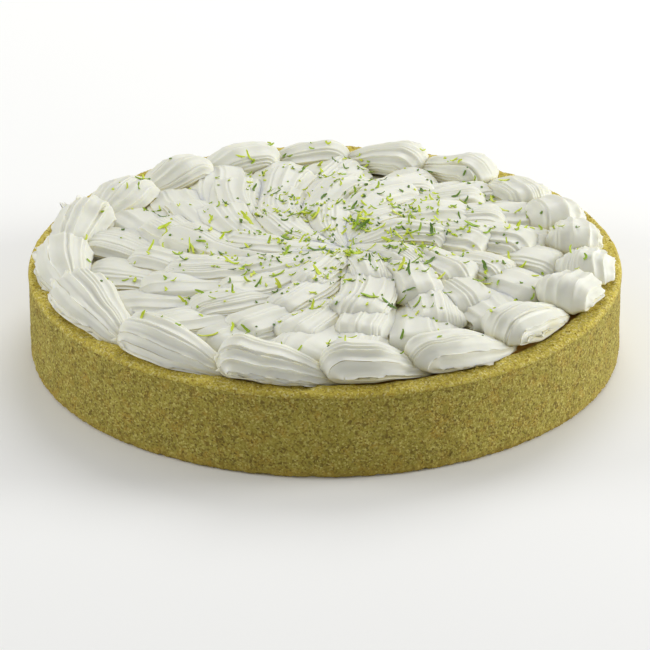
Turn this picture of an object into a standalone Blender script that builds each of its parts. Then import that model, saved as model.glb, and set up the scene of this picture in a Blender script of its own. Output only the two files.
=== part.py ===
"""A round lemon pie: a straight-sided shortcrust shell, a lemon filling and piped whipped cream with lime zest.

Run with: blender --background --python part.py
Metres, +Z up. The origin is the centre of the crust's flat underside.
"""

import math
import random

import bmesh
import bpy
from mathutils import Matrix, Vector, noise
from mathutils.bvhtree import BVHTree

MM = 0.001
COLLECTION = "lemon_pie"

# Crust: a baked wall and floor of one shortcrust dough.
CRUST_RADIUS = 127.0 * MM
CRUST_HEIGHT = 39.2 * MM
WALL = 9.5 * MM
FLOOR = 8.0 * MM
RIM_ROUND = 1.6 * MM
FOOT_ROUND = 1.2 * MM
CRUST_SEGMENTS = 84
CRUMB_RELIEF = 1.0 * MM
RIM_RELIEF = 0.6 * MM
RIM_SINK = 0.3
CRUMB_SIZE = 9.0 * MM

# Filling: set lemon cream, a little below the rim.
GAP = 0.3 * MM
FILLING_TOP = 36.0 * MM
FILLING_RADIUS = CRUST_RADIUS - WALL - GAP

# Cream: strokes of a star nozzle. Every stroke stands on CREAM_BASE.
CREAM_BASE = FILLING_TOP + GAP
RIM_CLEARANCE = 1.0 * MM
SKIRT_DEPTH = 3.0 * MM
TIP_DEPTH = 1.0 * MM
HEAD_DIP_DEG = -14.0
SIDE_DEG = 98.0
GROOVE_DEPTH = 0.17
TALL_POWER = 1.9
WIDE_POWER = 2.6

# Border: shells that run anticlockwise round the rim, each tail under the next head.
BORDER_TAIL_DEG = (
    13.6, 27.8, 46.1, 64.7, 84.0, 100.4, 118.6, 136.8, 154.8, 175.0,
    196.4, 222.0, 246.5, 268.7, 287.5, 309.5, 330.5, 345.5, 359.5,
)
# How much further out than the round each shell sits.
BORDER_OUT_MM = (0, -1, -1.5, -2, -2, -1.5, -1.5, -1.5, -0.5, 2, 5, 4, 3, 2.5, 2.5, 1.5, 1, 2.5, 5)
BORDER_RADIUS = 107.0 * MM
BORDER_REACH = 125.5 * MM
BORDER_EASE = 3.0 * MM
BORDER_WIDTH = 27.5 * MM
BORDER_HEIGHT = 15.7 * MM
BORDER_DROP = 3.4 * MM
BORDER_HEAD = 11.0 * MM
BORDER_LIFT = 1.5 * MM
BORDER_SPIRAL = 2.0 * MM
BORDER_TUCK_DEG = 7.0
BORDER_LOBES = 9
BORDER_STEPS = (4, 5)

# Zest: shreds of lime peel, denser towards the middle.
ZEST_SEED = 11
ZEST_COUNT = 64
ZEST_LENGTH = (4.0 * MM, 9.0 * MM)
ZEST_WIDTH = 1.1 * MM
ZEST_THICK = 1.3 * MM
ZEST_SPREAD = 46.0 * MM
ZEST_REACH = 104.0 * MM
ZEST_LOWEST = 3.0 * MM
ZEST_FLATNESS = 0.6

PIPING_SEED = 10


# Swirl: the rays flow in along spirals, round a point a little to the right of the middle.
SWIRL_MIDDLE = Vector((9.0 * MM, -1.0 * MM, 0.0))
SWIRL_REACH = 96.0 * MM
SWIRL_TURN_DEG = 55.0
SWIRL_SKEW_DEG = 20.0
SWIRL_MOST_DEG = 120.0
SWIRL_POWER = 1.3


class Ring:
    """One round of strokes that flow inwards: where they start and end, and how stout they are."""

    def __init__(self, count, first_deg, head, tail, width, height, lift, rest, back, steps):
        self.count = count
        self.first_deg = first_deg
        self.head = head
        self.tail = tail
        self.width = width
        self.height = height
        self.lift = lift
        self.rest = rest
        self.back = back
        self.steps = steps


RAY_LOBES = 6
RAY_TILT = 0.18  # heads are this much taller on the right, and lower on the left
RAYS = (
    Ring(20, 10, 94 * MM, 46 * MM, 31 * MM, 8.5 * MM, 1.0 * MM, 2.5 * MM, 8 * MM, (1, 3)),
    Ring(18, 3, 77 * MM, 24 * MM, 28 * MM, 10.5 * MM, 2.0 * MM, 4.5 * MM, 9 * MM, (2, 3)),
    Ring(13, 2, 60 * MM, 8 * MM, 28 * MM, 10.5 * MM, 4.0 * MM, 7.5 * MM, 9 * MM, (2, 3)),
    Ring(9, 10, 41 * MM, -4 * MM, 24 * MM, 9.0 * MM, 6.5 * MM, 10.0 * MM, 8 * MM, (2, 3)),
)

# Bed: a low mound of cream that the inner ends of the rays lie on.
BED_FOOT_RADIUS = 78.0 * MM
BED_TOP_RADIUS = 12.0 * MM
BED_HEIGHT = 7.0 * MM


def polar(radius, degrees, height=0.0):
    angle = math.radians(degrees)
    return Vector((radius * math.cos(angle), radius * math.sin(angle), height))


def clear_scene():
    for obj in list(bpy.data.objects):
        bpy.data.objects.remove(obj)


def make_collection(name, helper=False):
    collection = bpy.data.collections.new(name)
    bpy.context.scene.collection.children.link(collection)
    collection.hide_render = helper
    return collection


def make_material(name, colour, roughness):
    material = bpy.data.materials.new(name)
    material.use_nodes = True
    shader = material.node_tree.nodes["Principled BSDF"]
    shader.inputs["Base Color"].default_value = (*colour, 1.0)
    shader.inputs["Roughness"].default_value = roughness
    shader.inputs["Metallic"].default_value = 0.0
    material.diffuse_color = (*colour, 1.0)
    return material


def make_object(name, mesh, collection, helper=False):
    obj = bpy.data.objects.new(name, mesh)
    collection.objects.link(obj)
    if helper:
        obj.hide_render = True
        obj.display_type = "WIRE"
    return obj


def take_active(name, collection):
    """Names the object that an operator just made, and moves it to the collection."""
    obj = bpy.context.active_object
    obj.name = obj.data.name = name
    for other in list(obj.users_collection):
        other.objects.unlink(obj)
    collection.objects.link(obj)
    return obj


def turned(name, profile, collection, helper=False):
    """A profile of (radius, height) points from axis to axis, turned once round Z by a Screw modifier."""
    mesh = bpy.data.meshes.new(name)
    edges = [(i, i + 1) for i in range(len(profile) - 1)]
    mesh.from_pydata([(radius, 0.0, height) for radius, height in profile], edges, [])
    obj = make_object(name, mesh, collection, helper)
    screw = obj.modifiers.new("turn", "SCREW")
    screw.steps = screw.render_steps = CRUST_SEGMENTS
    screw.use_merge_vertices = True
    screw.merge_threshold = 0.00001
    return obj


def apply_modifiers(obj):
    """Replaces the object's mesh by what its modifiers make of it."""
    bpy.context.view_layer.update()
    graph = bpy.context.evaluated_depsgraph_get()
    mesh = bpy.data.meshes.new_from_object(obj.evaluated_get(graph))
    obj.modifiers.clear()
    obj.data = mesh


def quarter_round(centre_radius, centre_height, radius, start_deg, steps=3):
    """Points of a rounded edge, a quarter turn clockwise from start_deg."""
    angles = [math.radians(start_deg - 90.0 * k / steps) for k in range(steps + 1)]
    return [(centre_radius + radius * math.cos(a), centre_height + radius * math.sin(a)) for a in angles]


def make_crust(collection):
    """Wall and floor in one piece, with a crumbly outer face and an uneven rim."""
    inner = CRUST_RADIUS - WALL
    outer = CRUST_RADIUS
    side_steps = 4
    side = [
        (outer, CRUST_HEIGHT - RIM_ROUND - (CRUST_HEIGHT - RIM_ROUND - FOOT_ROUND) * k / side_steps)
        for k in range(1, side_steps)
    ]
    rim_middle = (inner + outer) / 2
    profile = [(0.0, FLOOR), (inner, FLOOR)]
    profile += quarter_round(inner + RIM_ROUND, CRUST_HEIGHT - RIM_ROUND, RIM_ROUND, 180.0, 2)
    profile += [(rim_middle, CRUST_HEIGHT)]
    profile += quarter_round(outer - RIM_ROUND, CRUST_HEIGHT - RIM_ROUND, RIM_ROUND, 90.0, 2)
    profile += side
    profile += quarter_round(outer - FOOT_ROUND, FOOT_ROUND, FOOT_ROUND, 0.0, 2)
    profile += [(0.0, 0.0)]
    crust = turned("crust", profile, collection)
    apply_modifiers(crust)
    roughen_crust(crust.data)
    crust.data.materials.append(make_material("shortcrust", (0.47, 0.38, 0.12), 0.85))
    return crust


def roughen_crust(mesh):
    """Pushes the outer face in and the rim up and down by a fixed noise; foot and inside stay true."""
    inner = CRUST_RADIUS - WALL
    for vertex in mesh.vertices:
        point = vertex.co
        radius = math.hypot(point.x, point.y)
        swell = noise.noise(point / CRUMB_SIZE)
        if radius > inner + RIM_ROUND / 2 and point.z > CRUST_HEIGHT - RIM_ROUND / 2:
            point.z += RIM_RELIEF * (swell - RIM_SINK)
        if radius > CRUST_RADIUS - RIM_ROUND / 2 and point.z > FOOT_ROUND / 2:
            pushed = radius - CRUMB_RELIEF * abs(swell)
            point.x *= pushed / radius
            point.y *= pushed / radius


def make_filling(collection):
    bpy.ops.mesh.primitive_cylinder_add(
        vertices=CRUST_SEGMENTS,
        radius=FILLING_RADIUS,
        depth=FILLING_TOP - FLOOR - GAP,
        location=(0, 0, (FILLING_TOP + FLOOR + GAP) / 2),
    )
    filling = take_active("lemon_filling", collection)
    filling.data.transform(Matrix.Rotation(-math.pi / 2, 4, "Z"))
    filling.data.materials.append(make_material("lemon_cream", (0.70, 0.45, 0.10), 0.4))
    return filling


def held_back(point):
    """Eases in what would hang over the outer edge of the crust."""
    radius = math.hypot(point.x, point.y)
    start = BORDER_REACH - BORDER_EASE
    if radius <= start:
        return point
    eased = start + BORDER_EASE * math.tanh((radius - start) / BORDER_EASE)
    return Vector((point.x * eased / radius, point.y * eased / radius, point.z))


class Stroke:
    """One pull of the nozzle: a head that folds over a pivot, then a body that thins out to its tail.

    path gives the plan position for a share 0..1 of the way from pivot to tail.
    """

    def __init__(self, path, width, height, lift, rest, back, lobes, phase_deg):
        self.path = path
        self.half_width = width / 2
        self.height = height
        self.lift = lift
        self.rest = rest
        self.back = back
        self.lobes = lobes
        self.phase_deg = phase_deg

    def direction(self, share):
        step = 0.02  # of the whole path
        ahead = self.path(min(1.0, share + step)) - self.path(max(0.0, share - step))
        return ahead.normalized()

    def base(self, share):
        """Height of what the stroke lies on."""
        return CREAM_BASE + self.lift * (1 - share) + self.rest * share

    def groove(self, side_deg):
        """1 on a ridge and less in the groove between two ridges."""
        turn = math.radians(side_deg + self.phase_deg) * self.lobes / 2
        return 1.0 - GROOVE_DEPTH * abs(math.sin(turn))

    def arch(self, share, tilt_deg, side_degs):
        """One cross section. tilt_deg is 90 where it stands upright, and less where the head folds down."""
        pivot = self.path(share) + Vector((0, 0, self.base(share)))
        forward = self.direction(share)
        across = Vector((-forward.y, forward.x, 0))
        tall = self.height * (1.0 - share ** TALL_POWER)
        wide = self.half_width * (1.0 - share ** WIDE_POWER)
        tilt = math.radians(tilt_deg)
        rise = Vector((0, 0, math.sin(tilt) * tall)) - forward * (math.cos(tilt) * self.back)
        points = []
        for side_deg in side_degs:
            side = math.radians(side_deg)
            ridge = self.groove(side_deg)
            point = pivot + rise * (math.cos(side) * ridge) + across * (math.sin(side) * wide * ridge)
            points.append(held_back(point))
        return points

    def sections(self, head_steps, body_steps):
        """(share, tilt) of each cross section, from the foot of the head to just before the tail."""
        head = [(0.0, HEAD_DIP_DEG + (90.0 - HEAD_DIP_DEG) * k / head_steps) for k in range(head_steps)]
        body = [(k / body_steps, 90.0) for k in range(body_steps)]
        return head + body

    def side_angles(self):
        """A point on every ridge and in every groove, so that few faces still give the star section."""
        step = 180.0 / self.lobes
        first = math.ceil((-SIDE_DEG + self.phase_deg) / step)
        angles = [k * step - self.phase_deg for k in range(first, first + 4 * self.lobes)]
        inside = [a for a in angles if -SIDE_DEG + step / 3 < a < SIDE_DEG - step / 3]
        return [-SIDE_DEG] + inside + [SIDE_DEG]


def stroke_object(name, stroke, steps, collection):
    """A closed solid: the ribbed skin, a skirt straight down from its edge, and a flat foot."""
    sides = stroke.side_angles()
    rows = [stroke.arch(share, tilt, sides) for share, tilt in stroke.sections(*steps)]
    shape = bmesh.new()
    grid = [[shape.verts.new(point) for point in row] for row in rows]
    tip = shape.verts.new(stroke.path(1.0) + Vector((0, 0, stroke.base(1.0) - TIP_DEPTH)))
    for lower, upper in zip(grid, grid[1:]):
        for left in range(len(sides) - 1):
            shape.faces.new((lower[left], lower[left + 1], upper[left + 1], upper[left]))
    for left in range(len(sides) - 1):
        shape.faces.new((grid[-1][left], grid[-1][left + 1], tip))
    rim = [edge for edge in shape.edges if edge.is_boundary]
    skirt = bmesh.ops.extrude_edge_only(shape, edges=rim)["geom"]
    low = [item for item in skirt if isinstance(item, bmesh.types.BMVert)]
    for vertex in low:
        vertex.co.z = CREAM_BASE - SKIRT_DEPTH
    foot = [edge for edge in shape.edges if edge.is_boundary]
    bmesh.ops.edgeloop_fill(shape, edges=foot)
    bmesh.ops.recalc_face_normals(shape, faces=shape.faces[:])
    mesh = bpy.data.meshes.new(name)
    shape.to_mesh(mesh)
    shape.free()
    return make_object(name, mesh, collection)


def border_strokes(draw):
    """Shells round the rim. Each starts on the tail of the one before it."""
    strokes = []
    tails = BORDER_TAIL_DEG
    for index, tail_deg in enumerate(tails):
        start_deg = tails[index - 1] - (360.0 if index == 0 else 0.0)
        head_deg = start_deg + math.degrees(BORDER_HEAD / BORDER_RADIUS)
        end_deg = tail_deg + BORDER_TUCK_DEG
        drop = BORDER_DROP * max(0.0, math.sin(math.radians(head_deg)))
        radius = BORDER_RADIUS + BORDER_OUT_MM[index] * MM + draw.uniform(-1.0, 1.0) * MM

        def path(share, head_deg=head_deg, end_deg=end_deg, radius=radius):
            return polar(radius + BORDER_SPIRAL * share, head_deg + (end_deg - head_deg) * share)

        strokes.append(
            Stroke(
                path,
                width=BORDER_WIDTH * draw.uniform(0.95, 1.04),
                height=BORDER_HEIGHT * draw.uniform(0.93, 1.07) - drop,
                lift=BORDER_LIFT,
                rest=0.0,
                back=BORDER_HEAD,
                lobes=BORDER_LOBES,
                phase_deg=draw.uniform(0.0, 360.0 / BORDER_LOBES),
            )
        )
    return strokes


def inward(radius):
    """0 at the reach of the swirl and 1 at its middle."""
    return max(0.0, 1.0 - radius / SWIRL_REACH)


def swirl_path(head_deg, head, tail, turn_deg):
    """The spiral from a head at one radius to a tail at another."""
    start = inward(head) ** SWIRL_POWER

    def path(share):
        radius = head + (tail - head) * share
        bearing_deg = head_deg + turn_deg * (inward(radius) ** SWIRL_POWER - start)
        return polar(radius, bearing_deg) + SWIRL_MIDDLE * inward(radius)

    return path


def ray_strokes(ring, draw):
    """Strokes whose heads stand on a circle, and which flow in with the swirl."""
    strokes = []
    for number in range(ring.count):
        head_deg = ring.first_deg + 360.0 * number / ring.count + draw.uniform(-4.0, 4.0)
        skew = SWIRL_SKEW_DEG * math.cos(math.radians(head_deg - SWIRL_MOST_DEG))
        turn_deg = (SWIRL_TURN_DEG + skew) * draw.uniform(0.85, 1.15)
        head = ring.head + draw.uniform(-4.0, 4.0) * MM
        tail = ring.tail + draw.uniform(0.0, 3.0) * MM
        tilt = 1.0 + RAY_TILT * math.cos(math.radians(head_deg))
        strokes.append(
            Stroke(
                swirl_path(head_deg, head, tail, turn_deg),
                width=ring.width * draw.uniform(0.9, 1.08),
                height=ring.height * tilt * draw.uniform(0.9, 1.1),
                lift=ring.lift,
                rest=ring.rest,
                back=ring.back * draw.uniform(0.9, 1.15),
                lobes=RAY_LOBES,
                phase_deg=draw.uniform(0.0, 360.0 / RAY_LOBES),
            )
        )
    return strokes


def fuse(target, collection):
    """Joins every object of the collection to the target by one Boolean union, and removes them."""
    union = target.modifiers.new("fuse", "BOOLEAN")
    union.operation = "UNION"
    union.operand_type = "COLLECTION"
    union.collection = collection
    union.solver = "MANIFOLD"
    apply_modifiers(target)
    for obj in list(collection.objects):
        bpy.data.objects.remove(obj)
    bpy.data.collections.remove(collection)


def cut_foot(target, helpers):
    """Trims the cream where the filling and the rim lie under it."""
    under = [
        (0.0, CREAM_BASE),
        (CRUST_RADIUS - WALL - GAP, CREAM_BASE),
        (CRUST_RADIUS - WALL - GAP, CRUST_HEIGHT + RIM_CLEARANCE),
        (CRUST_RADIUS + WALL, CRUST_HEIGHT + RIM_CLEARANCE),
        (CRUST_RADIUS + WALL, 0.0),
        (0.0, 0.0),
    ]
    cutter = turned("under_cream", under, helpers, helper=True)
    apply_modifiers(cutter)
    trim = target.modifiers.new("trim", "BOOLEAN")
    trim.operation = "DIFFERENCE"
    trim.object = cutter
    trim.solver = "MANIFOLD"
    apply_modifiers(target)
    bpy.data.objects.remove(cutter)


def keep_outer_skin(mesh):
    """Drops loose scraps and the skins of sealed hollows, so that one solid is left."""
    shape = bmesh.new()
    shape.from_mesh(mesh)
    unseen = set(shape.faces)
    islands = []
    while unseen:
        island = [unseen.pop()]
        for face in island:
            for edge in face.edges:
                fresh = [other for other in edge.link_faces if other in unseen]
                unseen.difference_update(fresh)
                island.extend(fresh)
        islands.append(island)
    islands.sort(key=len)
    scraps = [face for island in islands[:-1] for face in island]
    bmesh.ops.delete(shape, geom=scraps, context="FACES")
    shape.to_mesh(mesh)
    shape.free()


def zest_shred(name, place, normal, heading_deg, length, collection):
    """A short strip of peel that lies on the cream, half sunk into it."""
    bpy.ops.mesh.primitive_cube_add(size=1.0)
    shred = take_active(name, collection)
    turn = Vector((0, 0, 1)).rotation_difference(normal).to_matrix().to_4x4()
    spin = Matrix.Rotation(math.radians(heading_deg), 4, "Z")
    size = Matrix.Diagonal((length, ZEST_WIDTH, ZEST_THICK, 1.0))
    shred.data.transform(Matrix.Translation(place) @ turn @ spin @ size)
    return shred


def scatter_zest(cream, collection):
    """Places shreds on top of the cream, most of them near the middle."""
    draw = random.Random(ZEST_SEED)
    tree = BVHTree.FromPolygons(
        [vertex.co.copy() for vertex in cream.data.vertices],
        [tuple(face.vertices) for face in cream.data.polygons],
    )
    made = []
    while len(made) < ZEST_COUNT:
        radius = abs(draw.gauss(0.0, ZEST_SPREAD))
        start = polar(radius, draw.uniform(0.0, 360.0), 0.1)
        heading = draw.uniform(0.0, 180.0)
        length = draw.uniform(*ZEST_LENGTH)
        if radius > ZEST_REACH:
            continue
        place, normal, _, _ = tree.ray_cast(start, Vector((0, 0, -1)))
        if place is None or place.z < CREAM_BASE + ZEST_LOWEST or normal.z < ZEST_FLATNESS:
            continue
        if any((place - other).length < ZEST_LENGTH[0] for other in made):
            continue
        made.append(place)
        zest_shred(f"zest_{len(made):02d}", place, normal, heading, length, collection)


def make_bed(collection):
    """The mound under the inner ends of the rays."""
    bpy.ops.mesh.primitive_cone_add(
        vertices=32,
        radius1=BED_FOOT_RADIUS,
        radius2=BED_TOP_RADIUS,
        depth=BED_HEIGHT + SKIRT_DEPTH,
        location=(0, 0, CREAM_BASE + (BED_HEIGHT - SKIRT_DEPTH) / 2),
    )
    take_active("bed", collection)


def make_cream(collection, helpers):
    """Border shells, four rounds of rays and their bed, fused, trimmed below, with the zest fused on top."""
    draw = random.Random(PIPING_SEED)
    piping = make_collection("piping")
    strokes = [(stroke, BORDER_STEPS) for stroke in border_strokes(draw)]
    for ring in RAYS:
        strokes += [(stroke, ring.steps) for stroke in ray_strokes(ring, draw)]
    objects = [
        stroke_object(f"stroke_{number:02d}", stroke, steps, piping)
        for number, (stroke, steps) in enumerate(strokes)
    ]
    cream = objects[0]
    make_bed(piping)
    piping.objects.unlink(cream)
    collection.objects.link(cream)
    cream.name = cream.data.name = "piped_cream"
    fuse(cream, piping)
    cut_foot(cream, helpers)
    keep_outer_skin(cream.data)
    zest = make_collection("zest")
    scatter_zest(cream, zest)
    fuse(cream, zest)
    keep_outer_skin(cream.data)
    cream.data.materials.clear()
    cream.data.materials.append(make_material("whipped_cream", (0.86, 0.85, 0.76), 0.5))
    return cream


def main():
    clear_scene()
    pie = make_collection(COLLECTION)
    helpers = make_collection("cutters", helper=True)
    make_crust(pie)
    make_filling(pie)
    make_cream(pie, helpers)


main()
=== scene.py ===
"""Looks of a round lemon pie: a sandy shortcrust shell, set lemon filling, piped whipped cream and lime zest.

The file is laid out as an add-on and is run as a script. Lengths are metres, +Z is up, and the origin is the
centre of the crust's underside.
"""

import math
import random
from typing import NamedTuple

import bmesh
import bpy
import numpy as np
from bpy.props import FloatProperty, FloatVectorProperty, IntProperty, PointerProperty
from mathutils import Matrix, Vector, noise


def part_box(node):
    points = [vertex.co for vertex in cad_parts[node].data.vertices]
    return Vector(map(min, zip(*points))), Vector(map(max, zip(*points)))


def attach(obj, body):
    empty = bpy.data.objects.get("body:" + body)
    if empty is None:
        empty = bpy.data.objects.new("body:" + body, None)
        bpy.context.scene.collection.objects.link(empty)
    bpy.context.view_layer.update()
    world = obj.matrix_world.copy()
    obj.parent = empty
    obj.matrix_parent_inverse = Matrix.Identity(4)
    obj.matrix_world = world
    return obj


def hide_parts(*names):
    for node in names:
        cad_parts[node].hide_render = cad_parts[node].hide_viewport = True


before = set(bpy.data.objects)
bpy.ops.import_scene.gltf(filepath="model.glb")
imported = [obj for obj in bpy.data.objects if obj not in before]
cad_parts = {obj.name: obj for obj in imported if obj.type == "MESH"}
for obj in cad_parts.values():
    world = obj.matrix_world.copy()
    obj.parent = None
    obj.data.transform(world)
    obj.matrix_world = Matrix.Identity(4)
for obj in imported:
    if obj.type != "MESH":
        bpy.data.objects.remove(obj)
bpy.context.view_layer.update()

bl_info = {
    "name": "Lemon Pie",
    "version": (1, 0, 0),
    "blender": (4, 5, 0),
    "location": "View3D > Sidebar > Pie",
    "description": "Dresses the solid model of a round lemon pie for a close view",
    "category": "Object",
}

MM = 0.001
BODY = "root"
COLLECTION = "lemon_pie_looks"

# The frame: what the solid model says.
_, CRUST_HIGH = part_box("crust")
FILLING_LOW, FILLING_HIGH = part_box("lemon_filling")

# The crust before its crumbs are pressed in, as the solid has it, and the gap between two solids.
CRUST_RADIUS = 127.0 * MM
CRUST_HEIGHT = 39.2 * MM
SIZE_SLACK = 1.0 * MM
GAP = 0.3 * MM
FLOOR_TOP = FILLING_LOW.z - GAP
WALL = CRUST_RADIUS - FILLING_HIGH.x - GAP
INNER_RADIUS = CRUST_RADIUS - WALL
FILLING_TOP = FILLING_HIGH.z
CREAM_BASE = FILLING_TOP + GAP


def linear(hex_colour):
    """An sRGB hex colour as linear RGB."""
    values = [int(hex_colour[k:k + 2], 16) / 255 for k in (1, 3, 5)]
    return tuple(v / 12.92 if v <= 0.04045 else ((v + 0.055) / 1.055) ** 2.4 for v in values)


class PieCrustProps(bpy.types.PropertyGroup):
    """Sizes and colours of the shortcrust."""

    grain: FloatProperty(
        name="Grain", description="Width of one crumb of the sandy face", default=1.3 * MM, unit="LENGTH")
    grain_depth: FloatProperty(
        name="Grain depth", description="Depth between crumbs", default=0.42 * MM, unit="LENGTH")
    lump: FloatProperty(
        name="Lump", description="Width of the broad unevenness of the side", default=9.0 * MM, unit="LENGTH")
    lump_depth: FloatProperty(
        name="Lump depth", description="Depth of the broad unevenness", default=0.6 * MM, unit="LENGTH")
    colour: FloatVectorProperty(
        name="Side", description="Baked side of the crust", default=linear("#9E9139"), subtype="COLOR")
    pit_colour: FloatVectorProperty(
        name="Pits", description="Browned hollows between crumbs", default=linear("#5E4E18"), subtype="COLOR")
    # The rim's colour is partly its own yellower tone and partly painted light: it is made brighter, as if
    # the light from above falls on its top.
    rim_yellow_and_painted_light: FloatVectorProperty(
        name="Rim", description="Smoother and yellower top", default=linear("#DCCB56"), subtype="COLOR")


class PieCreamProps(bpy.types.PropertyGroup):
    """How the cream is piped."""

    seed: IntProperty(name="Seed", description="Draws the unevenness of the strokes", default=10)
    ridge_depth: FloatProperty(
        name="Ridge depth", description="Depth of a nozzle groove, as a share of the stroke's radius",
        default=0.14)
    colour: FloatVectorProperty(
        name="Cream", description="Whipped cream", default=linear("#E1E1D5"), subtype="COLOR")


class PieZestProps(bpy.types.PropertyGroup):
    """The grated lime peel."""

    seed: IntProperty(name="Seed", description="Draws where the zest falls", default=7)
    spread: FloatProperty(
        name="Spread", description="How far out most of it lies", default=49.0 * MM, unit="LENGTH")
    width: FloatProperty(
        name="Width", description="Width of one shred", default=1.1 * MM, unit="LENGTH")
    bright: FloatVectorProperty(
        name="Bright", description="Outer peel with pith", default=linear("#C0D61A"), subtype="COLOR")
    deep: FloatVectorProperty(
        name="Deep", description="Dark green outer peel", default=linear("#4C7006"), subtype="COLOR")


class PieStageProps(bpy.types.PropertyGroup):
    """Camera and light."""

    elevation: FloatProperty(
        name="Elevation", description="Camera height over the horizon", default=0.442, unit="ROTATION")
    distance: FloatProperty(
        name="Distance", description="From the camera to the pie", default=1.97943, unit="LENGTH")
    lens: FloatProperty(
        name="Lens", description="Focal length on a 36 mm sensor, in millimetres", default=254.9)
    floor: FloatVectorProperty(
        name="Floor", description="Pale studio floor", default=linear("#F4F4F2"), subtype="COLOR")


PROPERTIES = (
    ("pie_crust", PieCrustProps),
    ("pie_cream", PieCreamProps),
    ("pie_zest", PieZestProps),
    ("pie_stage", PieStageProps),
)


def collection():
    """The collection of the finished pieces."""
    found = bpy.data.collections.get(COLLECTION)
    if found is None:
        found = bpy.data.collections.new(COLLECTION)
        bpy.context.scene.collection.children.link(found)
    return found


def piece_object(name, mesh):
    """An object for a finished mesh, in the collection of the pieces."""
    obj = bpy.data.objects.new(name, mesh)
    collection().objects.link(obj)
    return obj


def finish_piece(obj, material, slot, *nodes):
    """Gives a finished piece its material and body, and hides the nodes that it stands for. Its slot is not
    used.
    """
    obj.data.materials.clear()
    obj.data.materials.append(material)
    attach(obj, BODY)
    if nodes:
        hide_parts(*nodes)


def grid_mesh(name, points, wrap=False):
    """A mesh of quads over rows of points; wrap joins the last column to the first."""
    rows, columns = points.shape[:2]
    index = np.arange(rows * columns).reshape(rows, columns)
    if wrap:
        index = np.concatenate([index, index[:, :1]], axis=1)
    corners = (index[:-1, :-1], index[:-1, 1:], index[1:, 1:], index[1:, :-1])
    quads = np.stack(corners, axis=-1).reshape(-1, 4)
    mesh = bpy.data.meshes.new(name)
    mesh.from_pydata(points.reshape(-1, 3).tolist(), [], quads.tolist())
    return mesh


# Materials


def fill(tree, node, inputs):
    """Sets a node's inputs, or links them where the value is a socket."""
    for key, value in inputs.items():
        if isinstance(value, bpy.types.NodeSocket):
            tree.links.new(value, node.inputs[key])
        else:
            node.inputs[key].default_value = value


def add_node(tree, kind, inputs=None, **settings):
    """Adds a node with its attributes and inputs."""
    node = tree.nodes.new(kind)
    for name, value in settings.items():
        setattr(node, name, value)
    fill(tree, node, inputs or {})
    return node


def new_material(name):
    """A material with a bare Principled shader; returns it with its tree, shader and object coordinates."""
    material = bpy.data.materials.new(name)
    material.use_nodes = True
    tree = material.node_tree
    shader = tree.nodes["Principled BSDF"]
    place = add_node(tree, "ShaderNodeTexCoord").outputs["Object"]
    return material, tree, shader, place


def rgba(colour):
    """An opaque colour, from linear values or an sRGB hex colour."""
    values = linear(colour) if isinstance(colour, str) else colour[:3]
    return (*values, 1.0)


def mix_colour(tree, factor, first, second):
    """The first colour where factor is 0 and the second where it is 1."""
    node = add_node(tree, "ShaderNodeMix", data_type="RGBA", clamp_factor=True)
    fill(tree, node, {0: factor, 6: first, 7: second})
    return node.outputs[2]


def ramp(tree, factor, low, high):
    """0 below low and 1 above high."""
    node = add_node(tree, "ShaderNodeMapRange", {"Value": factor, "From Min": low, "From Max": high})
    return node.outputs["Result"]


def soft_noise(tree, place, width, detail):
    """Smooth noise whose patches are about this wide."""
    inputs = {"Vector": place, "Scale": 1 / width, "Detail": detail}
    return add_node(tree, "ShaderNodeTexNoise", inputs).outputs["Fac"]


def bumps(tree, height, strength, depth):
    """The normal of a surface with bumps of this depth."""
    inputs = {"Height": height, "Strength": strength, "Distance": depth}
    return add_node(tree, "ShaderNodeBump", inputs).outputs["Normal"]


# How far below the top the rim's yellow and painted light start and are full, and how far up the foot's brown
# ends and is full.
RIM_BAND = (3.0 * MM, 0.5 * MM)
FOOT_BAND = (5.0 * MM, 0.5 * MM)


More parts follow.
